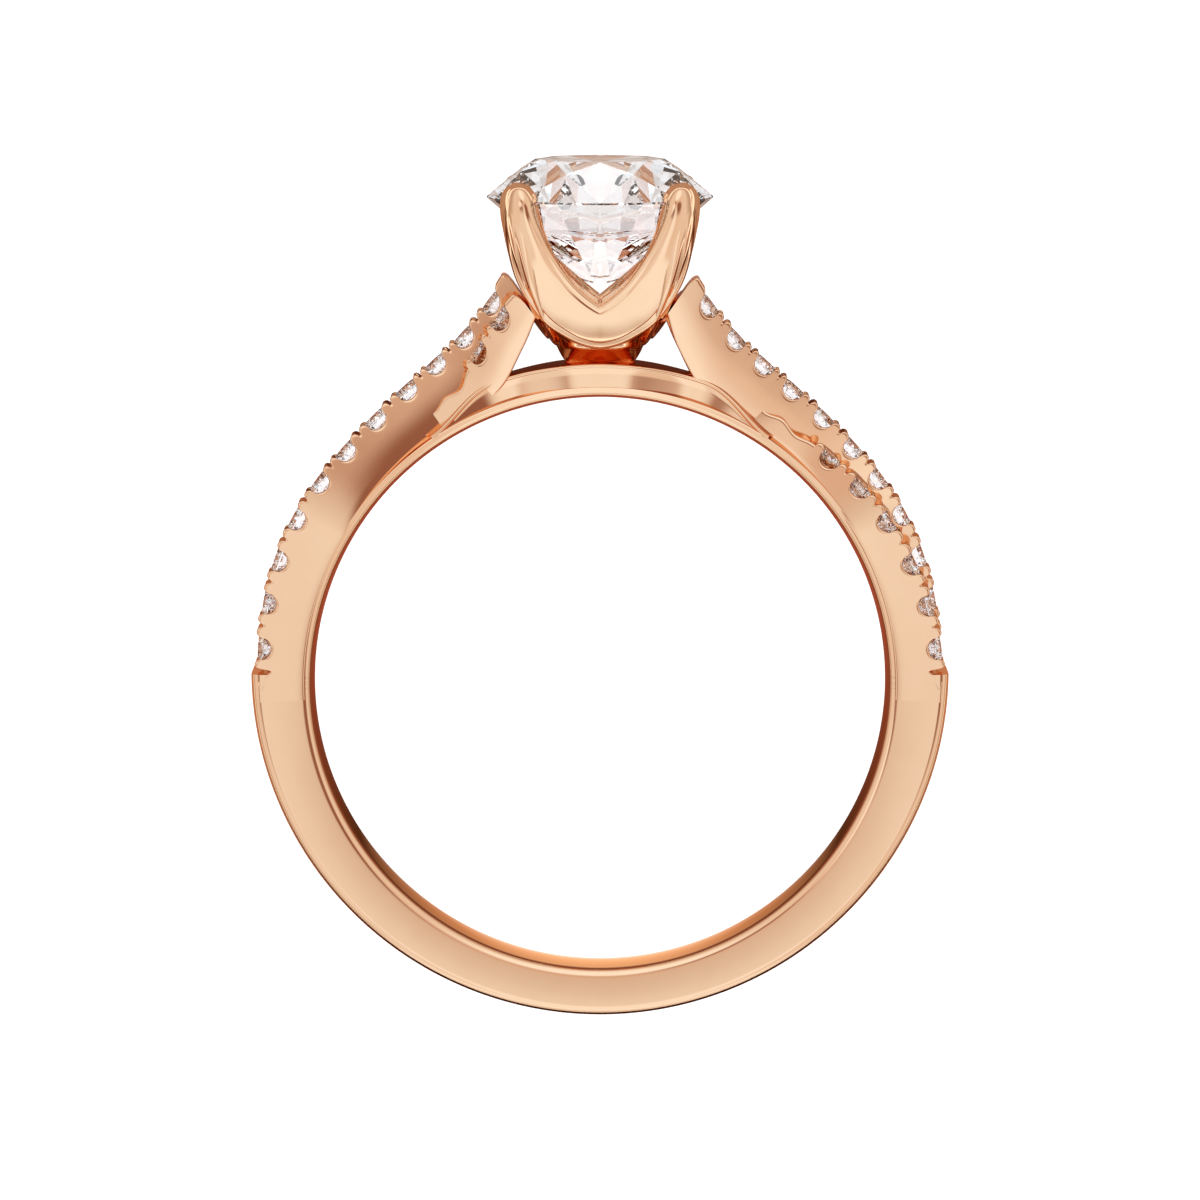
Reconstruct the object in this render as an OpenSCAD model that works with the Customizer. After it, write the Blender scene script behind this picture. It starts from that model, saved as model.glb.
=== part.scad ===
// Twisted shank ring with a round brilliant in a four prong petal head.
// It is drawn upright, finger axis along Y and head up, and then laid on its side.

/* [Shank] */
// Radius of the finger hole
finger_r = 8.25; // [8.05:0.05:8.35]
// Width of the shank across the finger
shank_w = 2.2; // [2.1:0.05:2.4]
// Radius of the round outside of the shank
outside_r = 10.05; // [9.95:0.05:10.2]
// How far the outside's centre stands above the centre of the finger hole
outside_lift = 0.37; // [0.2:0.01:0.45]
// Round on the inner edges of the shank
inner_round = 0.22; // [0.1:0.02:0.3]
// Round on the outer edges of the shank
outer_round = 0.24; // [0.1:0.02:0.4]
// Height where the plain shank ends and the set strands begin
plain_top = 0.3; // [0:0.05:0.5]

/* [Strands] */
// Width of one strand
strand_w = 1.04; // [0.96:0.01:1.06]
// Sideways place of a strand at the plain shank
low_side = 0.56; // [0.55:0.01:0.6]
// Sideways place of a strand at the head
high_side = 0.68; // [0.64:0.01:0.75]
// Angle above the horizon where the strands begin to cross
cross_from = 42; // [38:1:44]
// Angle above the horizon where the strands have crossed
cross_to = 76; // [74:1:80]

/* [Small stones] */
// Girdle radius of a small stone
small_r = 0.48; // [0.44:0.01:0.48]
// Depth of a small stone's girdle below the strand's top
small_sink = 0.08; // [0.05:0.01:0.12]
// Height of the bead prongs above the strand's top
bead_h = 0.05; // [0.02:0.01:0.08]

/* [Bridge] */
// Outer radius of the bridge under the head
bridge_r = 9.27; // [9.1:0.01:9.3]
// Width of the bridge
bridge_w = 2.06; // [1.9:0.02:2.1]

/* [Centre stone] */
// Girdle radius of the centre stone
girdle_r = 3.25; // [3.2:0.01:3.3]
// Height of the girdle above the centre of the finger hole
girdle_z = 14.03; // [13.95:0.01:14.1]
// Height of the crown above the girdle
crown_h = 1; // [0.95:0.01:1.05]
// Depth of the pavilion below the girdle
pavilion_h = 2.77; // [2.7:0.01:2.8]
// Half thickness of the girdle
girdle_t = 0.06; // [0.04:0.01:0.08]
// Radius of the table's corners
table_r = 1.86; // [1.75:0.01:1.95]

/* [Head] */
// Clear gap between a stone and its setting
seat_gap = 0.04; // [0.03:0.01:0.06]
// Half width of a prong
prong_half = 0.46; // [0.4:0.01:0.5]

/* [Hidden] */
gold = [0.88, 0.64, 0.49];
diamond = [0.92, 0.95, 0.98];
$fn = 96;

// Rows of the strand that passes over: outer angle, outer radius, inner angle, inner radius.
// The first row is inside the plain shank, the last at the head, and the others carry stones.
over_rows = [
    [-3, 9.9, -3, 8.36],
    [6.1, 9.95, 6.1, 8.36],
    [13.8, 10.02, 13.8, 8.38],
    [21.2, 10.08, 21.2, 8.42],
    [28.7, 10.11, 28.7, 8.48],
    [35.9, 10.1, 35.9, 8.54],
    [42.7, 10.09, 42.9, 8.58],
    [49.8, 10.14, 50.3, 8.6],
    [56.6, 10.27, 58, 8.6],
    [62.6, 10.48, 65.5, 8.7],
    [68.3, 10.84, 72, 9.1],
    [73.6, 11.48, 77.2, 10],
    [77, 12.15, 79.8, 10.85]
];
// Rows of the strand that passes under, in the same columns.
under_rows = [
    [-3, 9.9, -3, 8.36],
    [6.1, 9.93, 6.1, 8.36],
    [13.6, 9.87, 13.6, 8.36],
    [21.2, 9.78, 21.2, 8.36],
    [29.6, 9.66, 29.6, 8.36],
    [37.2, 9.54, 37.2, 8.36],
    [44.6, 9.43, 44.6, 8.36],
    [52, 9.4, 52, 8.36],
    [58.5, 9.44, 59.5, 8.36],
    [64.3, 9.66, 66.5, 8.66],
    [69.6, 10.34, 72.5, 9.1],
    [74.3, 11.05, 77.4, 10],
    [78, 11.6, 80.2, 10.75]
];
// Which rows carry a stone. The crossing hides three seats of the under strand, which are bare.
over_seats = [for (i = [1:11]) i];
under_seats = [1, 2, 3, 4, 5, 6, 10, 11];

// Rows of a prong from tip to foot: distance from the head's axis, height, half width, half depth.
prong_rows = [
    [3.24, 14.52, 0.14, 0.14],
    [3.27, 14.44, 0.33, 0.3],
    [3.33, 14.2, 0.43, 0.38],
    [3.39, 13.7, 0.46, 0.42],
    [3.38, 13.1, 0.46, 0.42],
    [3.26, 12.4, 0.46, 0.4],
    [2.92, 11.7, 0.46, 0.38],
    [2.3, 11.05, 0.46, 0.38],
    [1.5, 10.5, 0.46, 0.36]
];
// Rows of half a petal rim: sideways place, distance out from the head's axis, height,
// half width, half depth. The last row is inside a prong.
rim_rows = [
    [0, 1.6, 10.36, 0.43, 0.28],
    [0.55, 1.66, 10.45, 0.43, 0.28],
    [1.12, 1.78, 10.72, 0.43, 0.28],
    [1.66, 1.96, 11.16, 0.43, 0.28],
    [2.04, 2.13, 11.74, 0.4, 0.27],
    [2.21, 2.24, 12.3, 0.32, 0.24],
    [2.32, 2.33, 12.9, 0.2, 0.18]
];

// Steps of one seat along a strand: distance from the stone's centre, and height.
seat_steps = [
    [-small_r - 0.05, bead_h],
    [-small_r - 0.025, -0.2],
    [-0.18, -0.6],
    [0.18, -0.6],
    [small_r + 0.025, -0.2],
    [small_r + 0.05, bead_h]
];
// Height of a strand between its beads and where it carries no stones.
flat_h = -0.04;

// Tilt and place of the ring laid on its side, where the girdle and the shank touch the floor.
reach_out = girdle_r - shank_w / 2 + outer_round;
reach_along = girdle_z - girdle_t + outside_r - outside_lift - outer_round;
lie_tilt = atan2(reach_out, reach_along) - asin(outer_round / norm([reach_out, reach_along]));
floor_z = girdle_r * cos(lie_tilt) - (girdle_z - girdle_t) * sin(lie_tilt);
far_y = (girdle_z + crown_h + girdle_t) * cos(lie_tilt) + table_r * sin(lie_tilt);
near_y = (outside_r - outside_lift - outer_round) * cos(lie_tilt)
    + (shank_w / 2 - outer_round) * sin(lie_tilt) + outer_round;

function unit(v) = v / norm(v);
function mix(a, b, t) = a + (b - a) * t;
function ease(t) = let (c = min(1, max(0, t))) c * c * (3 - 2 * c);
function row_at(rows, i) = rows[min(len(rows) - 1, max(0, i))];
// A smooth curve through the rows of a table.
function curve4(a, b, c, d, t) =
    b + (c - a) * t / 2 + (2 * a - 5 * b + 4 * c - d) * t * t / 2 + (3 * b - a - 3 * c + d) * t * t * t / 2;
function along(rows, u) =
    let (i = floor(u))
    curve4(row_at(rows, i - 1), row_at(rows, i), row_at(rows, i + 1), row_at(rows, i + 2), u - i);
function polar(angle, r) = [r * cos(angle), 0, r * sin(angle)];
function outer_at(rows, u) = let (row = along(rows, u)) polar(row[0], row[1]);
function inner_at(rows, u) = let (row = along(rows, u)) polar(row[2], row[3]);
function forward_at(rows, u) = unit(outer_at(rows, u + 0.02) - outer_at(rows, u - 0.02));
function normal_at(rows, u) = let (f = forward_at(rows, u)) [f[2], 0, -f[0]];
// Sideways place of the over strand, and the other way round of the under strand.
function side_at(rows, u, way) =
    let (t = ease((along(rows, u)[0] - cross_from) / (cross_to - cross_from)))
    way * mix(low_side, -high_side, t);

// One closed section of a strand, with the strand's top at a height above its outer line.
function strand_section(rows, u, way, h, edge) =
    let (
        rise = unit(outer_at(rows, u) - inner_at(rows, u)),
        side = [0, side_at(rows, u, way), 0],
        top = outer_at(rows, u) + side,
        foot = inner_at(rows, u) + side,
        half = [0, strand_w / 2, 0]
    )
    [
        foot - half,
        top + rise * h - half,
        top + rise * (h - edge) - half * 0.35,
        top + rise * (h - edge) + half * 0.35,
        top + rise * h + half,
        foot + half
    ];

// Steps of the seat in one row, with a bead at each end.
function row_seat(rows, i) = [
    for (s = seat_steps)
        let (next = outer_at(rows, i + sign(s[0])))
        [i + s[0] / norm(next - outer_at(rows, i)), s[1]]
];

// Heights along a strand: seats in the rows that carry stones, and flat between the seats.
function strand_steps(rows, seats) = concat(
    [[0, flat_h], [0.45, flat_h]],
    [for (i = [1 : len(rows) - 2])
        each concat(
            len(search(i, seats)) > 0 ? row_seat(rows, i) : [[i, flat_h]],
            i < len(rows) - 2 ? [[i + 0.5, flat_h]] : []
        )],
    [[len(rows) - 1.2, 0], [len(rows) - 1, -0.12]]
);

function tube_faces(rings, sides) = concat(
    [[for (i = [0 : sides - 1]) i]],
    [for (r = [0 : rings - 2], i = [0 : sides - 1])
        let (j = (i + 1) % sides) [r * sides + i, (r + 1) * sides + j, r * sides + j]],
    [for (r = [0 : rings - 2], i = [0 : sides - 1])
        let (j = (i + 1) % sides) [r * sides + i, (r + 1) * sides + i, (r + 1) * sides + j]],
    [[for (i = [sides - 1 : -1 : 0]) (rings - 1) * sides + i]]
);

module tube(sections) {
    polyhedron(
        points = [for (s = sections, p = s) p],
        faces = tube_faces(len(sections), len(sections[0])),
        convexity = 6
    );
}

module strand(rows, seats, way) {
    tube([
        for (s = strand_steps(rows, seats))
            strand_section(rows, s[0], way, s[1], s[1] == bead_h ? bead_h : 0)
    ]);
}

// A shoulder on the right; the left one is the same turned half round the head's axis.
module shoulder() {
    strand(over_rows, over_seats, 1);
    strand(under_rows, under_seats, -1);
}

// Section of a round body about the finger axis, with its two edges rounded.
module rounded_band(from_r, to_r, w, edge) {
    translate([from_r, -w / 2 + edge]) square([to_r - from_r, w - 2 * edge]);
    translate([from_r, -w / 2]) square([to_r - from_r - edge, w]);
    for (side = [-1, 1])
        translate([to_r - edge, side * (w / 2 - edge)]) circle(r = edge);
}

// Section that cuts the finger hole and rounds its two rims.
module hole_section(w, edge) {
    translate([0, -w]) square([finger_r, 2 * w]);
    for (side = [0, 1])
        mirror([0, side])
            difference() {
                translate([0, w / 2 - edge]) square([finger_r + edge, w / 2]);
                translate([finger_r + edge, w / 2 - edge]) circle(r = edge);
            }
}

module about_finger() {
    rotate([90, 0, 0]) rotate_extrude(convexity = 4) children();
}

module plain_shank() {
    difference() {
        translate([0, 0, outside_lift])
            about_finger() rounded_band(6, outside_r, shank_w, outer_round);
        about_finger() hole_section(shank_w, inner_round);
        translate([-12, -3, plain_top]) cube([24, 6, 12]);
    }
}

// The thin rail along the finger hole that both strands stand on.
module rail() {
    difference() {
        about_finger() rounded_band(8, finger_r + 0.27, bridge_w, 0.08);
        about_finger() hole_section(bridge_w, 0.12);
    }
}

module bridge() {
    difference() {
        about_finger() rounded_band(8, bridge_r, bridge_w, 0.12);
        about_finger() hole_section(bridge_w, 0.12);
        for (side = [0, 1])
            mirror([side, 0, 0])
                rotate([0, -67, 0]) translate([0, -3, -30]) cube([30, 6, 30]);
        translate([-15, -3, -15]) cube([30, 6, 15]);
    }
}

module cup() {
    rotate_extrude(convexity = 4)
        polygon([
            [0, 8.9], [1.04, 8.9], [1.0, 9.35], [1.12, 9.7], [1.48, 10.2], [1.88, 10.66],
            [2.1, 11.02], [1.86, 11.08], [1.3, 10.72], [0.5, 10.4], [0, 10.4]
        ]);
}

function ring8(centre, across, deep, half_w, half_d) = [
    for (corner = [[1, 0.45], [0.6, 1], [-0.6, 1], [-1, 0.45], [-1, -0.45], [-0.6, -1], [0.6, -1], [1, -0.45]])
        centre + across * corner[0] * half_w + deep * corner[1] * half_d
];

function prong_at(u) = let (r = along(prong_rows, u)) [r[0] * sqrt(0.5), -r[0] * sqrt(0.5), r[1]];

module prong() {
    across = unit([1, 1, 0]);
    tube([
        for (i = [0 : len(prong_rows) - 1])
            let (
                ahead = unit(prong_at(i + 0.1) - prong_at(max(0, i - 0.1))),
                deep = unit(cross(ahead, across))
            )
            ring8(prong_at(i), across, deep, prong_rows[i][2] * prong_half / 0.46, prong_rows[i][3])
    ]);
}

function rim_at(u) =
    let (r = along(rim_rows, abs(u)), edge = u < 0 ? -1 : 1) [edge * r[0], -r[1], r[2]];

module petal_rim() {
    last = len(rim_rows) - 1;
    tube([
        for (i = [-last : 1 : last])
            let (
                ahead = unit(rim_at(min(last, i + 0.1)) - rim_at(max(-last, i - 0.1))),
                out = unit([rim_at(i)[0], rim_at(i)[1], -0.5]),
                deep = unit(out - ahead * (out * ahead)),
                across = cross(deep, ahead)
            )
            ring8(rim_at(i), across, deep, rim_rows[abs(i)][3], rim_rows[abs(i)][4])
    ]);
}

// The room that the centre stone takes in its setting.
module stone_room() {
    top_z = girdle_z + girdle_t;
    foot_z = girdle_z - girdle_t;
    translate([0, 0, foot_z - seat_gap]) cylinder(r = girdle_r + seat_gap, h = 2 * (girdle_t + seat_gap));
    translate([0, 0, top_z + seat_gap])
        cylinder(r1 = girdle_r + seat_gap, r2 = table_r + seat_gap, h = crown_h);
    translate([0, 0, foot_z - pavilion_h - seat_gap - 0.05])
        cylinder(r1 = 0.05, r2 = girdle_r + seat_gap, h = pavilion_h + 0.05);
}

module head() {
    difference() {
        union() {
            for (quarter = [0:3])
                rotate([0, 0, 90 * quarter]) {
                    prong();
                    petal_rim();
                }
        }
        stone_room();
    }
    cup();
}

module ring_body() {
    color(gold)
        laid() {
            plain_shank();
            rail();
            bridge();
            shoulder();
            rotate([0, 0, 180]) shoulder();
            head();
        }
}

// A round brilliant: table, stars, kites and halves above the girdle, mains and halves below.
module centre_stone() {
    star_r = 2.46;
    low_r = 0.72;
    top_z = girdle_z + girdle_t;
    foot_z = girdle_z - girdle_t;
    table_z = top_z + crown_h;
    culet_z = foot_z - pavilion_h;
    star_z = table_z - (star_r * cos(22.5) - table_r) * crown_h / (girdle_r - table_r);
    low_z = culet_z + low_r * cos(22.5) * pavilion_h / girdle_r;
    points = concat(
        [for (k = [0:7]) [table_r * cos(45 * k), table_r * sin(45 * k), table_z]],
        [for (k = [0:7]) [star_r * cos(45 * k + 22.5), star_r * sin(45 * k + 22.5), star_z]],
        [for (k = [0:15]) [girdle_r * cos(22.5 * k), girdle_r * sin(22.5 * k), top_z]],
        [for (k = [0:15]) [girdle_r * cos(22.5 * k), girdle_r * sin(22.5 * k), foot_z]],
        [for (k = [0:7]) [low_r * cos(45 * k + 22.5), low_r * sin(45 * k + 22.5), low_z]],
        [[0, 0, culet_z]]
    );
    faces = concat(
        [[for (k = [7:-1:0]) k]],
        [for (k = [0:7]) [k, (k + 1) % 8, 8 + k]],
        [for (k = [0:7]) [k, 8 + k, 16 + 2 * k]],
        [for (k = [0:7]) [k, 16 + 2 * k, 8 + (k + 7) % 8]],
        [for (k = [0:7]) [8 + k, 17 + 2 * k, 16 + 2 * k]],
        [for (k = [0:7]) [8 + k, 16 + (2 * k + 2) % 16, 17 + 2 * k]],
        [for (k = [0:15]) [16 + k, 16 + (k + 1) % 16, 32 + k]],
        [for (k = [0:15]) [32 + k, 16 + (k + 1) % 16, 32 + (k + 1) % 16]],
        [for (k = [0:7]) [48 + k, 32 + 2 * k, 33 + 2 * k]],
        [for (k = [0:7]) [48 + k, 33 + 2 * k, 32 + (2 * k + 2) % 16]],
        [for (k = [0:7]) [56, 32 + 2 * k, 48 + k]],
        [for (k = [0:7]) [56, 48 + (k + 7) % 8, 32 + 2 * k]]
    );
    color(diamond) laid() polyhedron(points = points, faces = faces, convexity = 2);
}

// A small stone at the origin, table up: its rings of eight corners are radius and height.
module small_stone() {
    rings = [[0.57 * small_r, 0.17], [small_r, 0.03], [small_r, -0.03]];
    points = concat(
        [for (r = rings, k = [0:7]) [r[0] * cos(45 * k), r[0] * sin(45 * k), r[1]]],
        [[0, 0, -0.45]]
    );
    faces = concat(
        [[for (k = [7:-1:0]) k]],
        [for (r = [0, 1], k = [0:7]) [8 * r + k, 8 * r + (k + 1) % 8, 8 * r + 8 + k]],
        [for (r = [0, 1], k = [0:7]) [8 * r + 8 + k, 8 * r + (k + 1) % 8, 8 * r + 8 + (k + 1) % 8]],
        [for (k = [0:7]) [16 + k, 16 + (k + 1) % 8, 24]]
    );
    polyhedron(points = points, faces = faces, convexity = 2);
}

module stone_row(rows, seats, way) {
    for (i = seats) {
        n = normal_at(rows, i);
        translate(outer_at(rows, i) + [0, side_at(rows, i, way), 0] - n * small_sink)
            rotate([0, atan2(n[0], n[2]), 0])
                small_stone();
    }
}

module right_small_stones() {
    color(diamond) laid() shoulder_stones();
}

module left_small_stones() {
    color(diamond) laid() rotate([0, 0, 180]) shoulder_stones();
}

module shoulder_stones() {
    stone_row(over_rows, over_seats, 1);
    stone_row(under_rows, under_seats, -1);
}

// Lays the upright ring on its side, with the box's bottom centre at the origin.
module laid() {
    translate([0, (near_y - far_y) / 2, floor_z]) rotate([lie_tilt - 90, 0, 0]) children();
}

ring_body();
centre_stone();
left_small_stones();
right_small_stones();
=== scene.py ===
import math

import bmesh
import bpy
import numpy as np
from mathutils import Matrix, Vector


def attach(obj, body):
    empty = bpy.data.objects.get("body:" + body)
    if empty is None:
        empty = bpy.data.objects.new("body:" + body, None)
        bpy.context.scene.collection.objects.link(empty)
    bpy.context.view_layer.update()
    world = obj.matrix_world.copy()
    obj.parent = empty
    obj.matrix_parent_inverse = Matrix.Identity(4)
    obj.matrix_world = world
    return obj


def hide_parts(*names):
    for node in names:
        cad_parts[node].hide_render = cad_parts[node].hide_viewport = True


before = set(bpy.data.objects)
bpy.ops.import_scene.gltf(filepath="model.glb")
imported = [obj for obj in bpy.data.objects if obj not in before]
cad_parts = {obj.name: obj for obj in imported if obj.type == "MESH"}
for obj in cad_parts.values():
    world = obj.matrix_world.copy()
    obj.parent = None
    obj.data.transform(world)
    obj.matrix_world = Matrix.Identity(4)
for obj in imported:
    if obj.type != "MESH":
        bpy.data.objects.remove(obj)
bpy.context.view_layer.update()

# Lengths are millimetres in the upright ring: X right, Y away from the viewer, Z to the stone,
# origin at the centre of the finger hole. LAY_DOWN takes them to metres in the frame.
MM = 0.001
ROOT = "root"

# Shank: its hole, its outside circle and how far that stands above the hole, its width and the
# roundings of its edges.
FINGER_R = 8.25
OUTSIDE_R = 10.05
OUTSIDE_LIFT = 0.37
SHANK_W = 2.2
SHANK_INNER_ROUND = 0.28
SHANK_OUTER_ROUND = 0.26
# Round of the outer edge that the ring lies on, as the solids have it.
RESTING_ROUND = 0.24
# The shank's flat faces slope inwards and are slightly crowned, and its inside is domed.
FACE_SLOPE = math.tan(math.radians(2.5))
FACE_CROWN = 0.008
INNER_DOME = 0.05
# How far the plain shank reaches above the hole's centre, and the top of the rail along the hole.
PLAIN_TOP = 0.3
RAIL_TOP_R = 8.6

# Strands: half width, inner radius, and the sideways place of their middle before and after they
# cross over, which they do between two angles.
STRAND_HALF = 0.535
STRAND_INNER_R = 8.5
LOW_SIDE = 0.5645
HIGH_SIDE = 0.68
CROSS_FROM = 30.0
CROSS_TO = 90.0
# Round of a strand's edges, how hollow its walls are, and how much more so where it crosses.
STRAND_LIP = 0.07
WALL_HOLLOW = 0.008
WALL_PILLOW = 0.03
# Share of a strand's depth at which its walls are full, and how far under its outer line its half
# width is measured.
WALL_FULL_AT = 0.75
WALL_MEASURED_AT = 0.1

# Heights on a strand, from its rows' outer line: the seats' floor, the saddle between two seats
# and the plain start.
FLOOR_H = -0.62
SADDLE_H = -0.14
START_H = -0.03
# Inner edge of a rim, as how far in and how far down from the rim's top, then how far in its side
# lies halfway down and at the floor, and the half width of the channel's middle.
RIM_EDGE = [(0.03, 0.004), (0.055, 0.025)]
RIM_SIDE_HALFWAY = 0.1
RIM_SIDE = 0.14
CHANNEL_HALF = 0.13
# Between two seats the channel's sides rise from the floor almost to the rim, and its middle to the
# saddle, each from a distance from the stone's centre and over a length.
FLOOR_BELOW_RIM = 0.02
FLOOR_RISE_FROM = 0.3
FLOOR_RISE_LENGTH = 0.12
SADDLE_RISE_FROM = 0.36
SADDLE_RISE_LENGTH = 0.14
# Bead prongs on the rims: how high each is and how far it stands above the rows' line.
BEAD_H = 0.13
BEAD_TOP = 0.03
# Scoop of the rim beside a stone, the dip beside an empty seat and the notch between two beads.
SCOOP_HALF = 0.31
SCOOP_DEEP = 0.42
EMPTY_DEEP = 0.26
NOTCH_HALF = 0.035
# Spacing that the first and the last seat have towards the strand's ends, and the step down from
# the plain start to the first seat.
START_PITCH = 1.2
END_PITCH = 1.1
START_STEP = 0.3
START_STEP_LENGTH = 0.09

# Bridge under the head: the radius of its top, its width and the round of its lips.
BRIDGE_R = 9.27
BRIDGE_W = 2.06
BRIDGE_LIP = 0.06
# How deep its foot lies in the rail, how far under its top the lip begins, and the slight crown of
# its top, as height and sideways.
BRIDGE_FOOT = 0.15
BRIDGE_LIP_DEPTH = 0.13
BRIDGE_CROWN = [(0.01, -0.5), (0.015, 0), (0.01, 0.5)]
# It is full up to an angle on either side of the head, and then sinks to a little above the rail.
BRIDGE_FULL = 19.0
BRIDGE_REACH = 34.0
BRIDGE_END_LIFT = 0.08
# Its faces draw in beside the head, from one angle to another.
BRIDGE_DIP = 0.26
BRIDGE_DIP_FROM = 4.0
BRIDGE_DIP_FULL = 17.0

# Centre stone: girdle radius and height, its half thickness in the solids and here, crown height,
# pavilion depth and table radius.
GIRDLE_R = 3.25
GIRDLE_Z = 14.03
GIRDLE_T = 0.06
THIN_GIRDLE = 0.025
CROWN_H = 1.0
PAVILION_H = 2.77
TABLE_R = 1.86

# Where the mains of a brilliant's crown and pavilion meet the small facets, as shares of its radius.
STAR_SHARE = 0.757
LOW_SHARE = 0.22

# Small stones, how deep their girdles lie under the strand's rows, and how many degrees each is
# turned on from the one before.
SMALL_R = 0.5
SMALL_CROWN_H = 0.15
SMALL_PAVILION_H = 0.38
SMALL_GIRDLE_T = 0.015
SMALL_TABLE_R = 0.28
SMALL_SINK = 0.2
SMALL_SPIN = 17.0

# Metres within which vertices are merged, and degrees between faces above which an edge is sharp.
MERGE_WITHIN = 1e-8
BAND_SHARP = 50
STRAND_SHARP = 46
PETAL_SHARP = 60

# Rows of a strand: outer angle, outer radius, inner angle, inner radius.
OVER_ROWS = np.array([
    [-3, 9.9, -3, 8.36],
    [6.1, 9.95, 6.1, 8.36],
    [13.8, 10.02, 13.8, 8.38],
    [21.2, 10.08, 21.2, 8.42],
    [28.7, 10.11, 28.7, 8.48],
    [35.9, 10.1, 35.9, 8.54],
    [42.7, 10.09, 42.9, 8.58],
    [49.8, 10.14, 50.3, 8.6],
    [56.6, 10.27, 58, 8.6],
    [62.6, 10.48, 65.5, 8.7],
    [68.3, 10.84, 72, 9.1],
    [73.6, 11.48, 77.2, 10],
    [77, 12.15, 79.8, 10.85],
])
UNDER_ROWS = np.array([
    [-3, 9.9, -3, 8.36],
    [6.1, 9.93, 6.1, 8.36],
    [13.6, 9.87, 13.6, 8.36],
    [21.2, 9.78, 21.2, 8.36],
    [29.6, 9.66, 29.6, 8.36],
    [37.2, 9.54, 37.2, 8.36],
    [44.6, 9.43, 44.6, 8.36],
    [52, 9.4, 52, 8.36],
    [58.5, 9.44, 59.5, 8.36],
    [64.3, 9.66, 66.5, 8.66],
    [69.6, 10.34, 72.5, 9.1],
    [74.3, 11.05, 77.4, 10],
    [78, 11.6, 80.2, 10.75],
])
# Rows with a stone. Rows 7 to 9 of an under strand lie beneath the other strand.
OVER_STONES = list(range(1, 12))
UNDER_STONES = [1, 2, 3, 4, 5, 6, 10, 11]
# The strands of a shoulder: name, rows, stones and the side that they start on.
STRANDS = [
    ("over", OVER_ROWS, OVER_STONES, 1),
    ("under", UNDER_ROWS, UNDER_STONES, -1),
]
# The shoulders, and whether they are turned by half a turn about the head's axis.
SHOULDERS = [("right", False), ("left", True)]
# The rounded end of a strand at the head: how far before its last row, and its height.
LOBE = [(0.36, 0.02), (0.28, 0.03), (0.19, 0.01), (0.11, -0.06), (0.04, -0.17), (0.0, -0.34)]

# Half of a front petal band from its middle to the tip of a prong. Its upper edge and its lower
# edge, each as sideways, out from the head's axis and height, and then its half depth.
PETAL_ROWS = np.array([
    [0, 2.08, 11.03, 0, 1.22, 9.72, 0.2],
    [0.21, 2.1, 11.18, 0.54, 1.26, 9.83, 0.2],
    [0.47, 2.14, 11.39, 1.04, 1.36, 10.08, 0.2],
    [0.755, 2.2, 11.68, 1.56, 1.53, 10.46, 0.21],
    [1.04, 2.28, 12.07, 2.05, 1.76, 11.1, 0.24],
    [1.27, 2.36, 12.45, 2.37, 1.93, 11.7, 0.29],
    [1.47, 2.45, 12.81, 2.54, 2.02, 12.26, 0.34],
    [1.67, 2.55, 13.31, 2.64, 2.05, 12.84, 0.38],
    [1.81, 2.64, 13.73, 2.67, 2.07, 13.4, 0.41],
    [1.89, 2.67, 14.04, 2.64, 2.07, 13.88, 0.41],
    [1.98, 2.62, 14.27, 2.58, 2.08, 14.2, 0.37],
    [2.07, 2.52, 14.42, 2.48, 2.14, 14.38, 0.28],
    [2.17, 2.42, 14.51, 2.38, 2.22, 14.49, 0.16],
    [2.27, 2.31, 14.54, 2.31, 2.27, 14.54, 0.03],
])
# A petal's section, from its upper edge to its lower edge along its front and back up again, as
# shares of its half width and its half depth. A step under the upper edge sets off its rim.
PETAL_FRONT = [
    (1.0, 0.1), (0.985, 0.4), (0.93, 0.52), (0.85, 0.58), (0.79, 0.6), (0.77, 0.62),
    (0.745, 0.8), (0.7, 0.85), (0.6, 0.91), (0.45, 0.96), (0.25, 1.0), (0, 0.99),
    (-0.25, 0.93), (-0.45, 0.84), (-0.56, 0.76), (-0.6, 0.72),
    (-0.635, 0.48), (-0.66, 0.47), (-0.8, 0.44), (-0.9, 0.36), (-0.975, 0.22), (-1.0, 0.05),
]
PETAL_BACK = [
    (-0.98, -0.4), (-0.85, -0.75), (-0.6, -0.95), (0, -1), (0.6, -0.95), (0.85, -0.75), (0.98, -0.4),
]
# From which row a petal's section turns to a round prong, over how many rows, and the power that
# says how square that round is.
PRONG_FROM = 5.0
PRONG_LENGTH = 3.5
PRONG_POWER = 2.4
# The steps along a petal or a foot, and along a strand, by which their direction is found.
NEAR = 0.05
STRAND_NEAR = 0.02

# A prong's foot, from the prong down to the base: out from the head's axis, height and the two
# half widths.
FOOT_ROWS = np.array([
    [2.95, 12.5, 0.2, 0.15],
    [2.88, 12.0, 0.3, 0.24],
    [2.6, 11.5, 0.34, 0.28],
    [2.2, 11.0, 0.36, 0.28],
    [1.75, 10.55, 0.36, 0.27],
    [1.25, 10.15, 0.34, 0.26],
    [0.9, 9.85, 0.28, 0.22],
])
# The head's base, from its neck up to its hollow top: half width, half depth and height.
BASE_ROWS = np.array([
    [0.02, 0.02, 9.0],
    [1.0, 0.22, 9.0],
    [1.0, 0.22, 9.18],
    [1.0, 0.24, 9.26],
    [1.05, 0.37, 9.33],
    [1.12, 0.61, 9.44],
    [1.18, 0.85, 9.55],
    [1.22, 1.05, 9.64],
    [1.26, 1.2, 9.72],
    [1.33, 1.29, 9.86],
    [1.43, 1.41, 10.05],
    [1.56, 1.55, 10.35],
    [1.6, 1.6, 10.5],
    [1.3, 1.3, 10.52],
    [0.9, 0.9, 10.42],
    [0.02, 0.02, 10.36],
])

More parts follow.
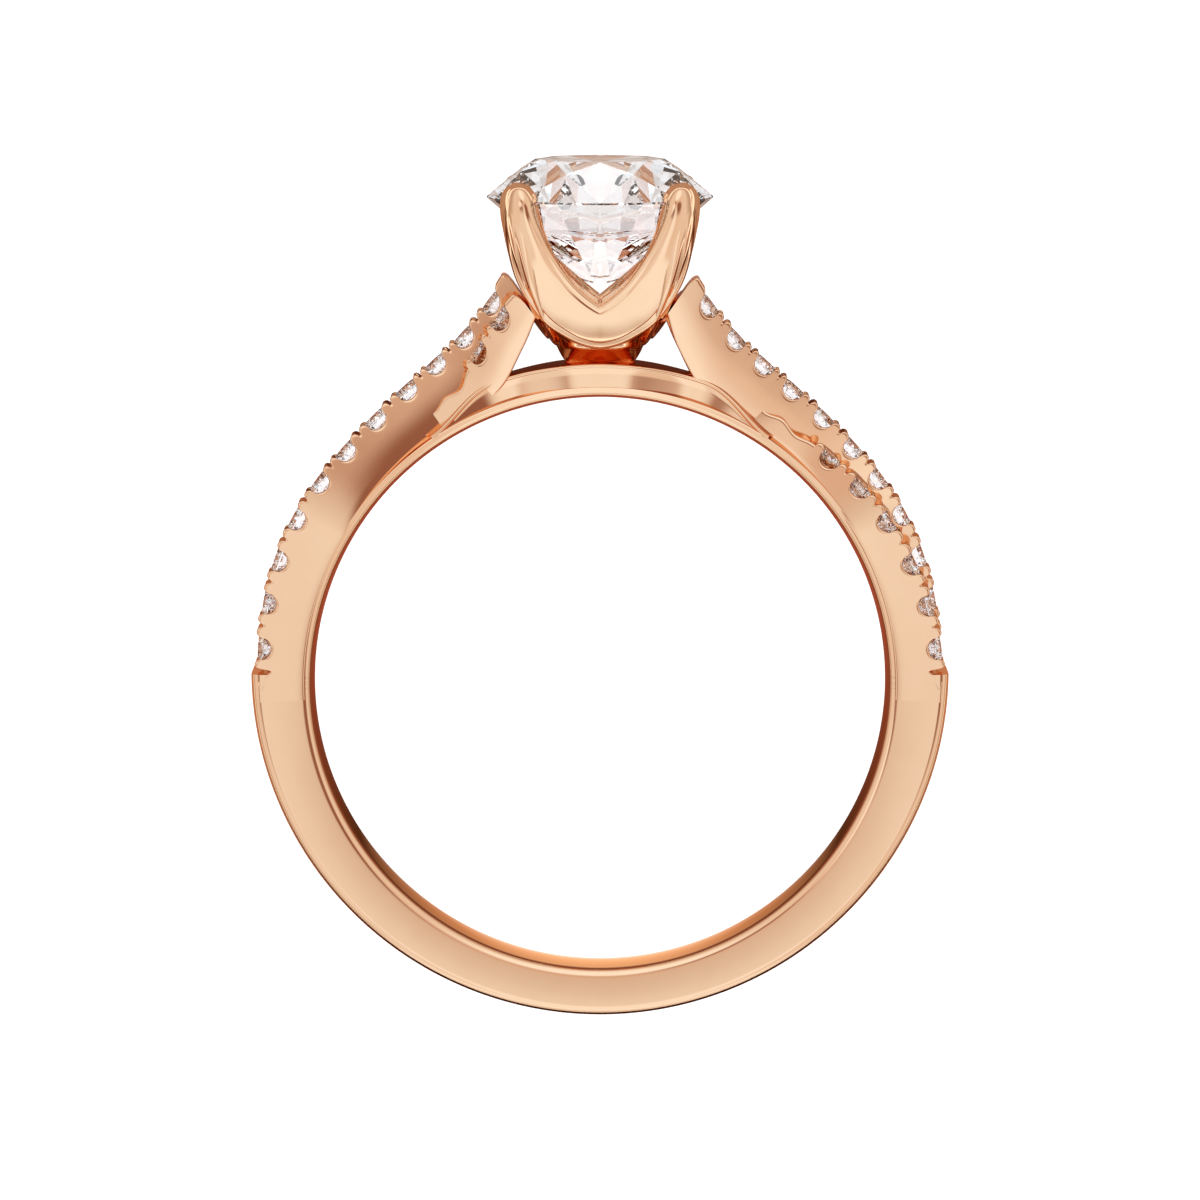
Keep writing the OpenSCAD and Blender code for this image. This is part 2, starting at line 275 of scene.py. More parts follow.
# Colours of the finishes, and the size of the gold's polishing haze.
GOLD_DARK = (0.855, 0.54, 0.335)
GOLD_LIGHT = (0.875, 0.56, 0.355)
GOLD_EDGE = (0.95, 0.62, 0.42)
HAZE_SCALE = 900
DIAMOND_TINT = (0.95, 0.972, 1.0)
DIAMOND_INDEX = 2.417

# The floor's half size, in metres, and how brightly it glows.
FLOOR_HALF = 3.0
FLOOR_GLOW = 0.75

# The card under the ring, whose colours are painted shade and light that show only in the metal's
# reflections: its half size, the half length that its colours cover, and how far it lies above the
# floor.
CARD_HALF = 37.5
CARD_COLOURS_HALF = 12.5
CARD_LIFT = 0.02
# Its colours beside the ring and in the finger hole, by how far towards the head: painted shade,
# darkest beside the shank's bottom and under the head, and painted light in the hole next to the
# shank's bottom.
CARD_PAINTED_SHADE_BESIDE = [
    (-12.45, (0.06, 0.025, 0.015)),
    (-11.8, (0.3, 0.15, 0.09)),
    (-9.0, (0.5, 0.3, 0.2)),
    (-2.0, (0.62, 0.38, 0.26)),
    (4.5, (0.4, 0.22, 0.15)),
    (6.0, (0.1, 0.035, 0.022)),
    (8.3, (0.1, 0.035, 0.022)),
    (9.6, (0.55, 0.42, 0.35)),
]
CARD_PAINTED_LIGHT_AND_SHADE_IN_HOLE = [
    (-11.0, (1.3, 1.3, 1.2)),
    (-10.5, (1.15, 1.05, 0.95)),
    (-9.4, (0.7, 0.5, 0.38)),
    (-7.0, (0.1, 0.05, 0.03)),
    (-1.0, (0.4, 0.13, 0.09)),
    (6.0, (0.4, 0.12, 0.08)),
]
# How far past the finger hole's edge the colours of the hole reach.
HOLE_MARGIN = 0.6

# Studio colours by height of the direction: 0 at the horizon and 1 overhead.
SKY_STOPS = [
    (0.0, (0.85, 0.82, 0.8)),
    (0.1, (0.6, 0.5, 0.45)),
    (0.25, (0.7, 0.63, 0.58)),
    (0.42, (0.95, 0.94, 0.93)),
    (0.64, (0.95, 0.93, 0.91)),
    (0.8, (0.93, 0.88, 0.84)),
    (0.92, (0.92, 0.85, 0.81)),
    (1.0, (0.8, 0.66, 0.6)),
]
# Soft cards in the sky: where they are in plan, their half sizes and their colour.
CARDS = [
    ((0.37, -0.13), (0.24, 0.2), (0.34, 0.17, 0.13)),
    ((-0.34, -0.23), (0.17, 0.1), (0.36, 0.19, 0.15)),
    ((-0.2, 0.14), (0.13, 0.12), (0.42, 0.25, 0.2)),
    ((0.0, -0.24), (0.16, 0.16), (0.84, 0.83, 0.82)),
    ((0.0, -0.52), (0.19, 0.3), (1.15, 1.28, 1.4)),
    ((0.0, -0.85), (0.5, 0.12), (1.15, 1.3, 1.42)),
    ((-0.37, -0.5), (0.22, 0.24), (0.98, 1.02, 1.06)),
    ((-0.45, -0.04), (0.16, 0.13), (1.15, 1.28, 1.4)),
    ((0.0, 0.55), (0.4, 0.34), (1.2, 1.36, 1.5)),
]
# A card fades between these shares of its half size.
CARD_INSIDE = 0.6
CARD_OUTSIDE = 1.4

# How often light may turn inside the stones and between the metal's faces.
STONE_BOUNCES = 32
METAL_BOUNCES = 12

# The photograph's view of the upright ring: how far off, how many degrees above it, and the height
# that it looks at. Its frame and its focal length are in pixels.
VIEW_DISTANCE = 200.0
VIEW_RISE = 7.2
VIEW_TARGET_Z = 2.33
PHOTO_SIZE = 1200
PHOTO_FOCAL_PX = 6920
SENSOR_W = 36


def lie_down_matrix():
    """The upright ring laid on its side, where the girdle and the shank touch the floor."""
    reach_out = GIRDLE_R - SHANK_W / 2 + RESTING_ROUND
    reach_along = GIRDLE_Z - GIRDLE_T + OUTSIDE_R - OUTSIDE_LIFT - RESTING_ROUND
    tilt = math.atan2(reach_out, reach_along)
    tilt -= math.asin(RESTING_ROUND / math.hypot(reach_out, reach_along))
    cos, sin = math.cos(tilt), math.sin(tilt)
    floor_z = GIRDLE_R * cos - (GIRDLE_Z - GIRDLE_T) * sin
    far_y = (GIRDLE_Z + CROWN_H + GIRDLE_T) * cos + TABLE_R * sin
    near_y = (OUTSIDE_R - OUTSIDE_LIFT - RESTING_ROUND) * cos
    near_y += (SHANK_W / 2 - RESTING_ROUND) * sin + RESTING_ROUND
    place = Matrix.Translation((0, (near_y - far_y) / 2 * MM, floor_z * MM))
    turn = Matrix.Rotation(tilt - math.pi / 2, 4, "X")
    return place @ turn @ Matrix.Scale(MM, 4)


LAY_DOWN = lie_down_matrix()
HALF_TURN = np.array([-1, -1, 1])


def unit(v):
    """A vector's direction, with length 1."""
    v = np.asarray(v, float)
    return v / np.linalg.norm(v, axis=-1, keepdims=True)


def ease(t):
    """A soft step from 0 to 1 as t goes from 0 to 1."""
    t = min(1.0, max(0.0, t))
    return t * t * (3 - 2 * t)


def along(rows, u):
    """A smooth curve through the rows of a table, at row number u."""
    i = int(math.floor(u))
    t = u - i
    last = len(rows) - 1
    a, b, c, d = (rows[min(last, max(0, k))] for k in (i - 1, i, i + 1, i + 2))
    slope = (c - a) * t / 2
    bend = (2 * a - 5 * b + 4 * c - d) * t**2 / 2
    return b + slope + bend + (3 * b - a - 3 * c + d) * t**3 / 2


def polar(angle, r, y=0.0):
    """A point of the upright ring, at an angle above its right side."""
    a = math.radians(angle)
    return np.array([r * math.cos(a), y, r * math.sin(a)])


def outer_at(rows, u):
    """Outer line of a strand at row number u."""
    row = along(rows, u)
    return polar(row[0], row[1])


def inner_at(rows, u):
    """Inner line of a strand at row number u."""
    row = along(rows, u)
    return polar(row[2], max(STRAND_INNER_R, row[3]))


def cross_share(rows, u):
    """How far a strand has crossed over: 0 on the low side and 1 on the high side."""
    return ease((along(rows, u)[0] - CROSS_FROM) / (CROSS_TO - CROSS_FROM))


def side_at(rows, u, way):
    """Sideways place of a strand's middle at row number u."""
    return way * (LOW_SIDE - (HIGH_SIDE + LOW_SIDE) * cross_share(rows, u))


def normal_at(rows, u):
    """Direction out of a strand, square to its outer line."""
    f = unit(outer_at(rows, u + STRAND_NEAR) - outer_at(rows, u - STRAND_NEAR))
    return np.array([f[2], 0, -f[0]])


def new_piece(name, verts, faces, material, replaced, sharp_angle=None):
    """One piece of the ring, laid down, with its finish and its body; it hides the node that it
    replaces.
    """
    mesh = bpy.data.meshes.new(name)
    mesh.from_pydata([tuple(v) for v in verts], [], [tuple(f) for f in faces])
    mesh.transform(LAY_DOWN)
    edit = bmesh.new()
    edit.from_mesh(mesh)
    bmesh.ops.remove_doubles(edit, verts=edit.verts, dist=MERGE_WITHIN)
    bmesh.ops.recalc_face_normals(edit, faces=edit.faces)
    edit.to_mesh(mesh)
    edit.free()
    if sharp_angle:
        mesh.shade_smooth()
        mesh.set_sharp_from_angle(angle=math.radians(sharp_angle))
    mesh.materials.append(material)
    piece = bpy.data.objects.new(name, mesh)
    bpy.context.scene.collection.objects.link(piece)
    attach(piece, ROOT)
    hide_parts(replaced)


def gold_piece(name, mesh_parts, gold, sharp_angle):
    """A piece of the soldered metal, from its vertices and faces."""
    verts, faces = mesh_parts
    new_piece(name, verts, faces, gold, "ring_body", sharp_angle)


def tube_mesh(rings):
    """Vertices and faces of a closed tube through rings that have the same number of points."""
    rings = np.asarray(rings, float)
    count, sides, _ = rings.shape
    verts = list(rings.reshape(-1, 3))
    faces = []
    for r in range(count - 1):
        for i in range(sides):
            j = (i + 1) % sides
            faces.append((r * sides + i, r * sides + j, (r + 1) * sides + j, (r + 1) * sides + i))
    for r, back in ((0, True), (count - 1, False)):
        centre = len(verts)
        verts.append(rings[r].mean(0))
        for i in range(sides):
            j = (i + 1) % sides
            a, b = r * sides + i, r * sides + j
            faces.append((centre, b, a) if back else (centre, a, b))
    return verts, faces


def merged(parts):
    """Several meshes' vertices and faces as one."""
    verts, faces = [], []
    for part_verts, part_faces in parts:
        first = len(verts)
        verts += list(part_verts)
        faces += [tuple(first + i for i in face) for face in part_faces]
    return verts, faces


def arc(cx, cy, r, start, end, steps):
    """Points of an arc in a section, in degrees."""
    angles = np.radians(np.linspace(start, end, steps))
    return [(cx + r * math.cos(a), cy + r * math.sin(a)) for a in angles]


def face_y(r):
    """Half width of the shank at a radius: its flat faces draw in towards the finger hole."""
    return SHANK_W / 2 - FACE_SLOPE * (OUTSIDE_R - r)


def band_profile(outer_r, cut_r=None):
    """The shank's section as (radius, sideways) points, or only its inner part up to a radius.

    The inside is domed, the edges are rounded and the faces are slightly crowned.
    """
    inner_half = face_y(FINGER_R)
    low, high = SHANK_INNER_ROUND, SHANK_OUTER_ROUND
    span = inner_half - low
    half = []
    for k in range(4):
        y = -span * k / 4
        half.append((FINGER_R + INNER_DOME * (y / span) ** 2, y))
    turn = 180 - math.degrees(math.atan(FACE_SLOPE))
    half += arc(FINGER_R + INNER_DOME + low, -inner_half + low, low, 180, 90 + turn, 9)
    start = half[-1][0]
    end = cut_r or outer_r - high
    lift = face_y(start) + half[-1][1]
    for t in (0.03, 0.1, 0.3, 0.5, 0.7, 0.9, 0.97, 1.0):
        r = start + (end - start) * t
        crown = 0 if cut_r else FACE_CROWN * 4 * t * (1 - t)
        half.append((r, -face_y(r) + lift * (1 - t) - crown))
    if cut_r is None:
        half += arc(end, half[-1][1] + high, high, 270, 360, 9)[1:]
    return half[::-1] + [(r, -y) for r, y in half[1:]]


def outside_at(angle):
    """Radius of the shank's outside at an angle, whose circle stands above the finger hole."""
    a = math.radians(angle)
    return OUTSIDE_LIFT * math.sin(a) + math.sqrt(OUTSIDE_R**2 - (OUTSIDE_LIFT * math.cos(a)) ** 2)


def make_shank(gold):
    """The plain lower shank, from one notch round the bottom to the other."""
    top = math.degrees(math.asin(PLAIN_TOP / outside_at(0)))
    rings = []
    for angle in np.linspace(top, -180 - top, 181):
        rings.append([polar(angle, r, y) for r, y in band_profile(outside_at(angle))])
    gold_piece("plain_shank", tube_mesh(rings), gold, BAND_SHARP)


def make_rail(gold):
    """The thin rail along the finger hole under the strands and the bridge."""
    profile = band_profile(OUTSIDE_R, RAIL_TOP_R)
    rings = []
    for angle in np.linspace(-1, 181, 145):
        rings.append([polar(angle, r, y) for r, y in profile])
    gold_piece("inner_rail", tube_mesh(rings), gold, BAND_SHARP)


def make_bridge(gold):
    """The bridge under the head, with a lip along its upper edges and hollowed faces."""
    rings = []
    for angle in np.linspace(-BRIDGE_REACH, BRIDGE_REACH, 121):
        sunk = ease((abs(angle) - BRIDGE_FULL) / (BRIDGE_REACH - BRIDGE_FULL))
        top = BRIDGE_R - (BRIDGE_R - RAIL_TOP_R - BRIDGE_END_LIFT) * sunk
        hollow = ease((abs(angle) - BRIDGE_DIP_FROM) / (BRIDGE_DIP_FULL - BRIDGE_DIP_FROM))
        half = BRIDGE_W / 2 - BRIDGE_DIP * hollow * (1 - sunk)
        lip = arc(top - BRIDGE_LIP, -half + BRIDGE_LIP / 2, BRIDGE_LIP, 212, 360, 10)
        wall_top = max(RAIL_TOP_R, top - BRIDGE_LIP_DEPTH)
        heights = np.linspace(RAIL_TOP_R - BRIDGE_FOOT, wall_top, 5)
        side = [(r, -half + FACE_SLOPE * (BRIDGE_R - r)) for r in heights] + lip
        crown = [(top + h, y) for h, y in BRIDGE_CROWN]
        profile = side + crown + [(r, -y) for r, y in reversed(side)]
        rings.append([polar(90 - angle, r, y) for r, y in profile])
    gold_piece("gallery_bridge", tube_mesh(rings), gold, BAND_SHARP)


def bead_middle(half):
    """Where the bead between a stone and the notch is highest, from the stone's centre."""
    return (SCOOP_HALF + half - NOTCH_HALF) / 2


def rim_height(a, half):
    """Height of a strand's rim at a distance from a stone's centre, with a bead beside each scoop."""
    if a < SCOOP_HALF:
        return -BEAD_H - (SCOOP_DEEP - BEAD_H) * math.sqrt(1 - (a / SCOOP_HALF) ** 2)
    middle = bead_middle(half)
    t = (a - middle) / (half - NOTCH_HALF - middle)
    if t > 1:
        return -BEAD_H
    return -BEAD_H + (BEAD_H + BEAD_TOP) * math.sqrt(max(0.0, 1 - t * t))


def wave_height(a, half):
    """Height of the rim beside an empty seat, a shallow wave without beads."""
    return -BEAD_H - (EMPTY_DEEP - BEAD_H) * (1 - ease(a / half))


def seat_steps(pitch_back, pitch_on):
    """Distances from a stone's centre at which the strand gets a section, back and on from it."""
    steps = []
    for way, pitch in ((-1, pitch_back), (1, pitch_on)):
        half = pitch / 2
        scoop_turns = (0, 10, 22, 35, 48, 60, 70, 78, 84, 90)
        scoop = [SCOOP_HALF * math.sin(math.radians(d)) for d in scoop_turns]
        middle = bead_middle(half)
        reach = half - NOTCH_HALF - middle
        bead = [middle - reach * math.cos(math.radians(d)) for d in range(18, 181, 18)]
        steps += [way * a for a in scoop + bead + [half]]
    return sorted(set(round(a, 4) for a in steps))


def wall_side(h, depth, pillow):
    """Half width of a strand at a height: hollow below the channel's floor and straight above it."""
    curved = min(h, FLOOR_H) + WALL_FULL_AT * depth
    beyond = max(0.0, h - FLOOR_H)
    hollow = 4 * pillow / depth**2 * curved * (curved + 2 * beyond)
    return STRAND_HALF + FACE_SLOPE * (h + WALL_MEASURED_AT) - hollow


def strand_section(rows, u, way, rim_h, floor_h, middle_h, turn):
    """A section of a strand: a plain wall, a rounded rim and a channel between the rims."""
    outer, inner = outer_at(rows, u), inner_at(rows, u)
    rise = unit(outer - inner)
    side = np.array([0, side_at(rows, u, way), 0])
    depth = float(np.linalg.norm(outer - inner))
    crossed = cross_share(rows, u)
    pillow = WALL_HOLLOW + WALL_PILLOW * 4 * crossed * (1 - crossed)
    low = STRAND_LIP - depth
    high = rim_h - STRAND_LIP
    heights = list(np.linspace(low, max(low + 0.05, FLOOR_H), 5)) + [high - 0.04]
    foot = wall_side(low, depth, pillow)
    top = wall_side(high, depth, pillow) - STRAND_LIP
    wall = [(foot - 2 * STRAND_LIP, -depth)]
    wall += arc(foot - STRAND_LIP, low, STRAND_LIP, -90, 0, 6)[:-1]
    wall += [(wall_side(h, depth, pillow), h) for h in heights]
    wall += arc(top, high, STRAND_LIP, 0, 90, 6)
    wall += [(top - inwards, rim_h - down) for inwards, down in RIM_EDGE]
    wall.append((top - RIM_SIDE_HALFWAY, (rim_h + floor_h) / 2))
    wall.append((top - RIM_SIDE, floor_h))
    wall.append((CHANNEL_HALF, (floor_h + 2 * middle_h) / 3))
    near_wall, far_wall = [], []
    for v, h in wall:
        middle = outer + rise * h + side
        near_wall.append(middle + np.array([0, -v, 0]))
        far_wall.append(middle + np.array([0, v, 0]))
    points = near_wall + [outer + rise * middle_h + side] + far_wall[::-1]
    return [p * (HALF_TURN if turn else 1) for p in points]


def strand_rings(rows, stones, way, turn):
    """All sections of a strand from the plain shank to the head."""
    rings = []

    def put(u, rim_h, floor_h, middle_h):
        rings.append(strand_section(rows, u, way, rim_h, floor_h, middle_h, turn))

    end = len(rows) - 1
    last = end - 1
    pitch = [float(np.linalg.norm(outer_at(rows, i + 1) - outer_at(rows, i))) for i in range(end)]
    for u in np.linspace(0, 0.44, 5):
        put(u, START_H, 2 * START_H, 2 * START_H)
    for i in range(1, end):
        back = pitch[i - 1] if i > 1 else START_PITCH
        on = pitch[i] if i < last else END_PITCH
        for s in seat_steps(back, on):
            a = abs(s)
            half = (back if s < 0 else on) / 2
            reach = min(a, bead_middle(half)) if i == last and s > 0 else a
            rim = rim_height(reach, half) if i in stones else wave_height(a, half)
            if i == 1 and s < 0:
                rim -= START_STEP * (1 - ease((half - a) / START_STEP_LENGTH))
            floor_share = ease((a - FLOOR_RISE_FROM) / FLOOR_RISE_LENGTH)
            floor_h = FLOOR_H + (rim - FLOOR_BELOW_RIM - FLOOR_H) * floor_share
            saddle_share = ease((a - SADDLE_RISE_FROM) / SADDLE_RISE_LENGTH)
            middle_h = FLOOR_H + (SADDLE_H - FLOOR_H) * saddle_share
            put(i + s / pitch[i - 1 if s < 0 else i], rim, floor_h, middle_h)
    for before_end, h in LOBE:
        put(end - before_end, h, h - 0.01, h - 0.01)
    return rings


def make_strands(gold):
    """The four strands: an over and an under strand on each shoulder."""
    for shoulder, turn in SHOULDERS:
        for name, rows, stones, way in STRANDS:
            rings = strand_rings(rows, stones, way, turn)
            gold_piece(f"{shoulder}_{name}_strand", tube_mesh(rings), gold, STRAND_SHARP)


def petal_edges(u):
    """Upper and lower edge and half depth of a front petal band.

    u is 0 in its middle and grows to a tip on either side. The upper edge meets in a point in the
    middle, and the lower edge runs on smoothly.
    """
    first, second = PETAL_ROWS[0], PETAL_ROWS[1]
    before = np.concatenate([2 * first[:3] - second[:3], second[3:] * [-1, 1, 1, 1]])
    row = along(np.vstack([before, PETAL_ROWS]), abs(u) + 1)
    side = -1 if u < 0 else 1
    upper = np.array([side * row[0], -row[1], row[2]])
    lower = np.array([side * row[3], -row[4], row[5]])
    return upper, lower, row[6]


def petal_rings():
    """All sections of a front petal band from one prong's tip to the other's."""
    last = len(PETAL_ROWS) - 1
    fine = np.concatenate([np.linspace(0, 9, 64), np.linspace(9.12, last, 30)])
    rings = []
    for u in np.concatenate([-fine[:0:-1], fine]):
        upper, lower, half_d = petal_edges(u)
        centre = (upper + lower) / 2
        half_w = float(np.linalg.norm(upper - lower)) / 2
        across = unit(upper - lower) if half_w > 0.001 else np.array([0, 0, 1.0])
        ahead = sum(petal_edges(min(last, u + NEAR))[:2]) - sum(petal_edges(max(-last, u - NEAR))[:2])
        deep = unit(np.cross(ahead, across))
        round_share = ease((abs(u) - PRONG_FROM) / PRONG_LENGTH)
        section = []
        for v, d in PETAL_FRONT:
            round_d = (1 - min(1.0, abs(v)) ** PRONG_POWER) ** (1 / PRONG_POWER)
            section.append((v, d + (round_d - d) * round_share))
        section += PETAL_BACK
        rings.append([centre + across * v * half_w + deep * d * half_d for v, d in section])
    return rings


def quarter(points, turns):
    """Points turned about the head's axis by quarter turns."""
    points = np.asarray(points, float)
    for _ in range(turns):
        points = np.stack([-points[..., 1], points[..., 0], points[..., 2]], axis=-1)
    return points


def superellipse(across, deep, centre, half_w, half_d, sides=20, power=2.5):
    """Ring of points with softly squared corners."""
    ring = []
    for k in range(sides):
        a = 2 * math.pi * k / sides
        c, s = math.cos(a), math.sin(a)
        x = math.copysign(abs(c) ** (2 / power), c) * half_w
        y = math.copysign(abs(s) ** (2 / power), s) * half_d
        ring.append(centre + across * x + deep * y)
    return ring


def foot_rings():
    """All sections of one prong's foot, which leans in from the prong to the base."""
    last = len(FOOT_ROWS) - 1
    diagonal = np.array([math.sqrt(0.5), -math.sqrt(0.5), 0])
    across = unit([1, 1, 0])
    rings = []
    for u in np.linspace(0, last, 21):
        out, z, half_w, half_d = along(FOOT_ROWS, u)
        step = along(FOOT_ROWS, min(last, u + NEAR)) - along(FOOT_ROWS, max(0, u - NEAR))
        ahead = unit(diagonal * step[0] + np.array([0, 0, step[1]]))
        centre = diagonal * out + np.array([0, 0, z])
        rings.append(superellipse(across, np.cross(ahead, across), centre, half_w, half_d))
    return rings


def make_petals(gold):
    """Four petal bands that run from prong to prong."""
    rings = petal_rings()
    for turns, name in enumerate(("front", "right", "back", "left")):
        gold_piece(f"{name}_petal_band", tube_mesh(quarter(rings, turns)), gold, PETAL_SHARP)


def make_feet(gold):
    """The four prongs' feet, as one piece."""
    rings = foot_rings()
    parts = [tube_mesh(quarter(rings, turns)) for turns in range(4)]
    gold_piece("prong_feet", merged(parts), gold, PETAL_SHARP)


def make_base(gold):
    """The base that the petals and the feet stand on, over its narrow neck."""
    angles = np.linspace(0, 2 * math.pi, 65)[:-1]
    rings = []
    for u in np.linspace(0, len(BASE_ROWS) - 1, 76):
        across, forth, z = along(BASE_ROWS, u)
        rings.append([np.array([across * math.cos(a), forth * math.sin(a), z]) for a in angles])
    gold_piece("head_base", tube_mesh(rings), gold, BAND_SHARP)


def brilliant(girdle_r, crown_h, pavilion_h, girdle_t, table_r):
    """A round brilliant at the origin, girdle level, table up."""
    star_r = STAR_SHARE * girdle_r
    low_r = LOW_SHARE * girdle_r
    table_z = girdle_t + crown_h
    culet_z = -girdle_t - pavilion_h
    half = math.cos(math.radians(22.5))
    star_z = table_z - (star_r * half - table_r) * crown_h / (girdle_r - table_r)
    low_z = culet_z + low_r * half * pavilion_h / girdle_r

    def ring(r, z, count, turn):
        angles = [2 * math.pi * (k + turn) / count for k in range(count)]
        return [(r * math.cos(a), r * math.sin(a), z) for a in angles]

    verts = ring(table_r, table_z, 8, 0) + ring(star_r, star_z, 8, 0.5)
    verts += ring(girdle_r, girdle_t, 16, 0) + ring(girdle_r, -girdle_t, 16, 0)
    verts += ring(low_r, low_z, 8, 0.5) + [(0, 0, culet_z)]
    # The first vertex of each ring after the table's eight.
    star, upper, lower, low, culet = 8, 16, 32, 48, 56
    faces = [tuple(range(8))]
    for k in range(8):
        after, before = (k + 1) % 8, (k + 7) % 8
        here, beside, beyond = 2 * k, 2 * k + 1, (2 * k + 2) % 16
        faces.append((k, star + k, after))
        faces.append((k, star + before, upper + here, star + k))
        faces.append((star + k, upper + here, upper + beside))
        faces.append((star + k, upper + beside, upper + beyond))
        faces.append((low + k, lower + beside, lower + here))
        faces.append((low + k, lower + beyond, lower + beside))
        faces.append((culet, low + k, lower + here, low + before))
    for k in range(16):
        after = (k + 1) % 16
        faces.append((upper + k, lower + k, lower + after, upper + after))
    return np.array(verts), faces


def make_centre_stone(diamond):
    """The centre stone. Its girdle is thinner than the solid's, and its table and culet stay there."""
    thinner = GIRDLE_T - THIN_GIRDLE
    verts, faces = brilliant(GIRDLE_R, CROWN_H + 2 * thinner, PAVILION_H, THIN_GIRDLE, TABLE_R)
    verts = verts + np.array([0, 0, GIRDLE_Z - thinner])
    new_piece("round_brilliant", verts, faces, diamond, "centre_stone")


def make_small_stones(diamond):
    """The small brilliants of each shoulder, one piece a shoulder."""
    stone, stone_faces = brilliant(
        SMALL_R, SMALL_CROWN_H, SMALL_PAVILION_H, SMALL_GIRDLE_T, SMALL_TABLE_R
    )
    for shoulder, turn in SHOULDERS:
        parts = []
        for _, rows, stones, way in STRANDS:
            for i in stones:
                n = normal_at(rows, i)
                f = np.array([-n[2], 0, n[0]])
                place = outer_at(rows, i) + np.array([0, side_at(rows, i, way), 0]) - n * SMALL_SINK
                spin = math.radians(SMALL_SPIN * i)
                one = f * math.cos(spin) + np.cross(n, f) * math.sin(spin)
                two = np.cross(n, one)
                points = [place + one * x + two * y + n * z for x, y, z in stone]
                parts.append(([p * (HALF_TURN if turn else 1) for p in points], stone_faces))
        verts, faces = merged(parts)
        replaced = f"{shoulder}_small_stones"
        new_piece(f"{shoulder}_melee", verts, faces, diamond, replaced)


def new_material(name):
    """A material with its nodes and links."""
    material = bpy.data.materials.new(name)
    material.use_nodes = True
    return material, material.node_tree.nodes, material.node_tree.links


def operation_node(nodes, kind, operation):
    """A maths node that does one operation."""
    node = nodes.new(kind)
    node.operation = operation
    return node


def colour_ramp(nodes, stops):
    """A ramp through stops of a place and a colour."""
    ramp = nodes.new("ShaderNodeValToRGB")
    elements = ramp.color_ramp.elements
    while len(elements) < len(stops):
        elements.new(0.5)
    for element, (place, colour) in zip(elements, stops):
        element.position = place
        element.color = (*colour, 1)
    return ramp


def rose_gold():
    """Polished rose gold, with faint polishing haze."""
    material, nodes, links = new_material("rose_gold")
    shader = nodes["Principled BSDF"]
    shader.inputs["Metallic"].default_value = 1.0
    shader.inputs["Specular Tint"].default_value = (*GOLD_EDGE, 1)
    place = nodes.new("ShaderNodeTexCoord")
    haze = nodes.new("ShaderNodeTexNoise")
    haze.inputs["Scale"].default_value = HAZE_SCALE
    haze.inputs["Detail"].default_value = 4
    links.new(place.outputs["Object"], haze.inputs["Vector"])
    tint = colour_ramp(nodes, [(0.3, GOLD_DARK), (0.7, GOLD_LIGHT)])
    links.new(haze.outputs["Fac"], tint.inputs["Fac"])
    links.new(tint.outputs["Color"], shader.inputs["Base Color"])
    rough = nodes.new("ShaderNodeMapRange")
    rough.inputs["To Min"].default_value = 0.05
    rough.inputs["To Max"].default_value = 0.1
    links.new(haze.outputs["Fac"], rough.inputs["Value"])
    links.new(rough.outputs["Result"], shader.inputs["Roughness"])
    return material


def clear_diamond(name):
    """Clear cut diamond."""
    material, nodes, _ = new_material(name)
    shader = nodes["Principled BSDF"]
    shader.inputs["Base Color"].default_value = (*DIAMOND_TINT, 1)
    shader.inputs["Roughness"].default_value = 0.0
    shader.inputs["IOR"].default_value = DIAMOND_INDEX
    shader.inputs["Transmission Weight"].default_value = 1.0
    return material


def make_sheet(name, half, z, material):
    """A square sheet of the studio around the ring, in metres and level."""
    mesh = bpy.data.meshes.new(name)
    corners = [(-half, -half, z), (half, -half, z), (half, half, z), (-half, half, z)]
    mesh.from_pydata(corners, [], [(0, 1, 2, 3)])
    mesh.materials.append(material)
    sheet = bpy.data.objects.new(name, mesh)
    bpy.context.scene.collection.objects.link(sheet)
    return sheet


def make_floor():
    """A plain white floor that the ring lies on."""
    material, nodes, _ = new_material("white_floor")
    shader = nodes["Principled BSDF"]
    shader.inputs["Base Color"].default_value = (0.9, 0.9, 0.9, 1)
    shader.inputs["Roughness"].default_value = 0.9
    shader.inputs["Specular IOR Level"].default_value = 0.0
    shader.inputs["Emission Color"].default_value = (1, 1, 1, 1)
    shader.inputs["Emission Strength"].default_value = FLOOR_GLOW
    floor = make_sheet("floor", FLOOR_HALF, 0, material)


def painted_card_shade(nodes, links, place):
    """Painted shade and light of the card under the ring: one row of colours beside the ring, and one
    in its hole.
    """
    split = nodes.new("ShaderNodeSeparateXYZ")
    links.new(place, split.inputs["Vector"])
    towards_head = nodes.new("ShaderNodeMapRange")
    towards_head.inputs["From Min"].default_value = -CARD_COLOURS_HALF * MM
    towards_head.inputs["From Max"].default_value = CARD_COLOURS_HALF * MM
    links.new(split.outputs["Y"], towards_head.inputs["Value"])
    colours = []
    for stops in (CARD_PAINTED_SHADE_BESIDE, CARD_PAINTED_LIGHT_AND_SHADE_IN_HOLE):
        shares = [((y / CARD_COLOURS_HALF + 1) / 2, colour) for y, colour in stops]
        ramp = colour_ramp(nodes, shares)
        links.new(towards_head.outputs["Result"], ramp.inputs["Fac"])
        colours.append(ramp.outputs["Color"])
    hole = LAY_DOWN @ Vector((0, 0, 0))
    from_hole = operation_node(nodes, "ShaderNodeVectorMath", "DISTANCE")
    from_hole.inputs[1].default_value = (hole.x, hole.y, CARD_LIFT * MM)
    links.new(place, from_hole.inputs[0])
    inside = operation_node(nodes, "ShaderNodeMath", "LESS_THAN")
    inside.inputs[1].default_value = (FINGER_R + HOLE_MARGIN) * MM
    links.new(from_hole.outputs["Value"], inside.inputs[0])
    mix = nodes.new("ShaderNodeMix")
    mix.data_type = "RGBA"
    links.new(inside.outputs["Value"], mix.inputs[0])
    links.new(colours[0], mix.inputs[6])
    links.new(colours[1], mix.inputs[7])
    return mix.outputs[2]


